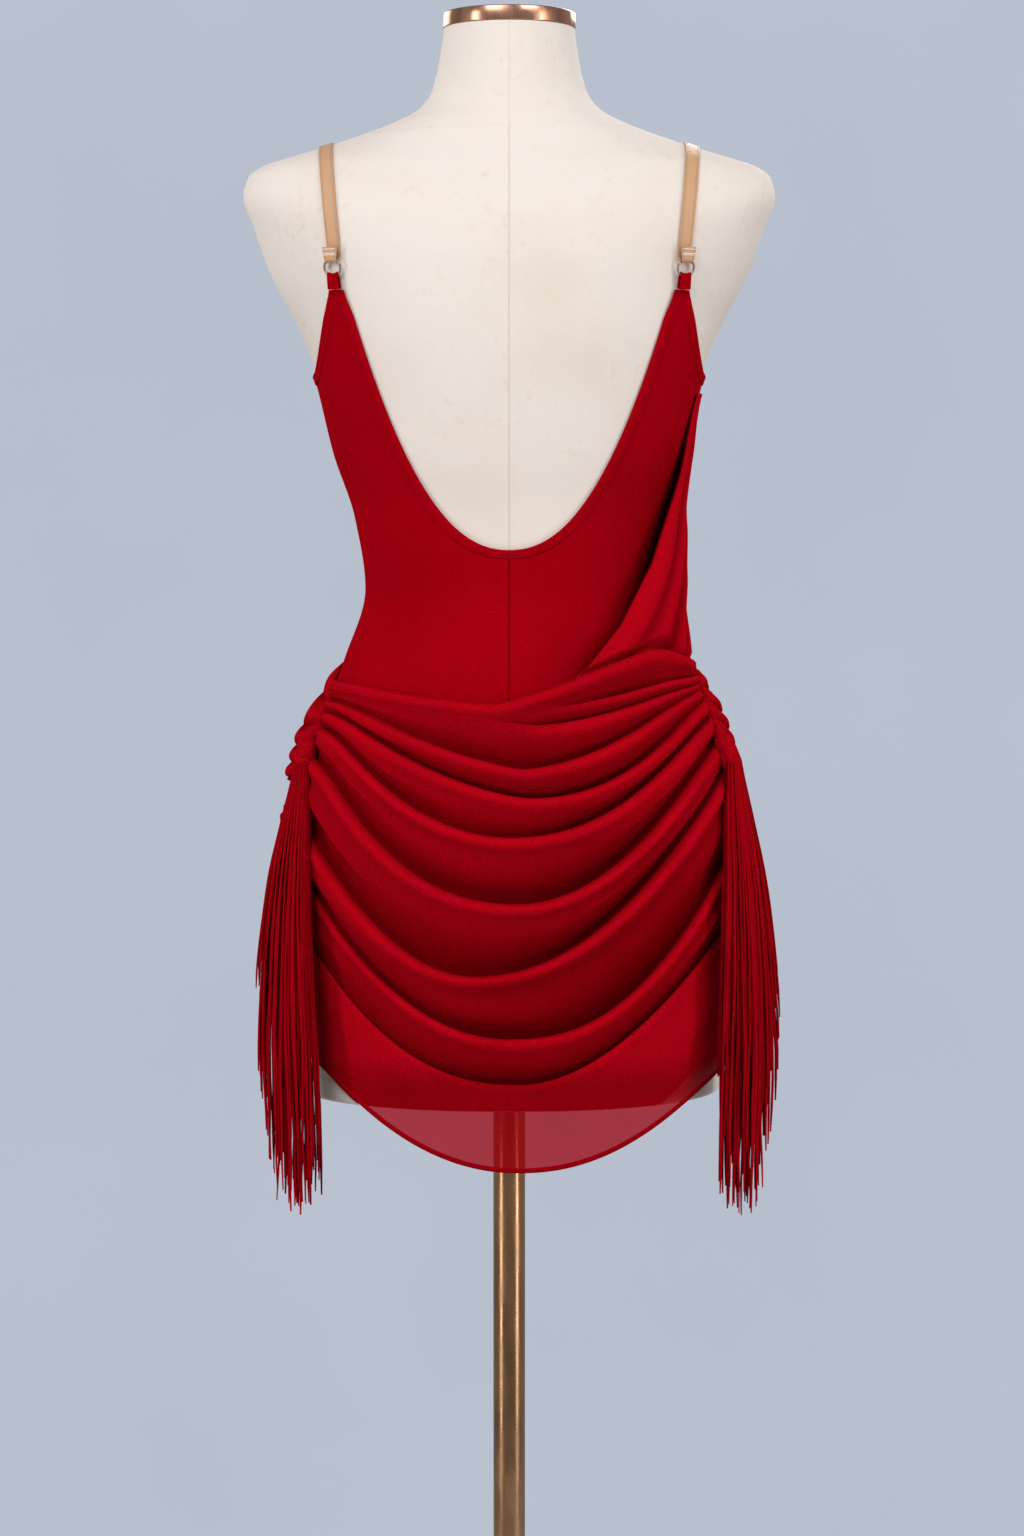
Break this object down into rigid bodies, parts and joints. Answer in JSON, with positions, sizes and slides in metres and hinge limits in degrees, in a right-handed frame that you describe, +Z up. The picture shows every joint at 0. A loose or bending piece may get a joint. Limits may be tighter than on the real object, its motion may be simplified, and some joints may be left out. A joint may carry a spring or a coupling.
{
  "type": "latin dance dress on a dress form",
  "caption": "Backless latin dance dress with thin straps, a gathered hip drape and long side tassels, worn on a limbless dress form on a round stand.",
  "frame": {"origin": "centre of the foot plate's underside, on the floor under the pole", "axes": "+Z up along the pole, -Y out of the back of the dress, +X to the dress's own right as seen from behind"},
  "size_m": [0.4193, 0.33, 1.5968],
  "materials": {
    "linen": "fine cream cloth cover, matte, faintly mottled",
    "copper": "brushed copper-bronze, glossy",
    "bronze": "dark bronze tube, polished",
    "crepe": "red stretch crepe, soft sheen",
    "binding": "red turned edge with a stitched line",
    "georgette": "red draped georgette, soft satin crests",
    "cord": "red knitted tassel and cord fringe",
    "elastic": "tan satin elastic",
    "ring": "polished rose-silver wire"
  },
  "bodies": {
    "root": {"form_torso": "linen", "neck_cap": "copper", "pole": "bronze", "foot_collar": "bronze", "foot_plate": "bronze", "back_left": "crepe", "back_right": "crepe", "front": "crepe", "scoop_binding": "binding", "armhole_binding_left": "binding", "armhole_binding_right": "binding", "front_neck_binding": "binding", "loop_left": "crepe", "loop_right": "crepe", "ring_left": "ring", "ring_right": "ring", "strap_left": "elastic", "strap_right": "elastic", "side_drape": "georgette", "back_drape": "georgette", "back_hem": "georgette", "front_drape": "georgette", "front_hem": "georgette", "ruche_left": "georgette", "ruche_right": "georgette", "tassel_knot_left": "cord", "tassel_knot_right": "cord", "tassel_head_left": "cord", "tassel_head_right": "cord", "fringe_left": "cord", "fringe_right": "cord"}
  },
  "joints": []
}
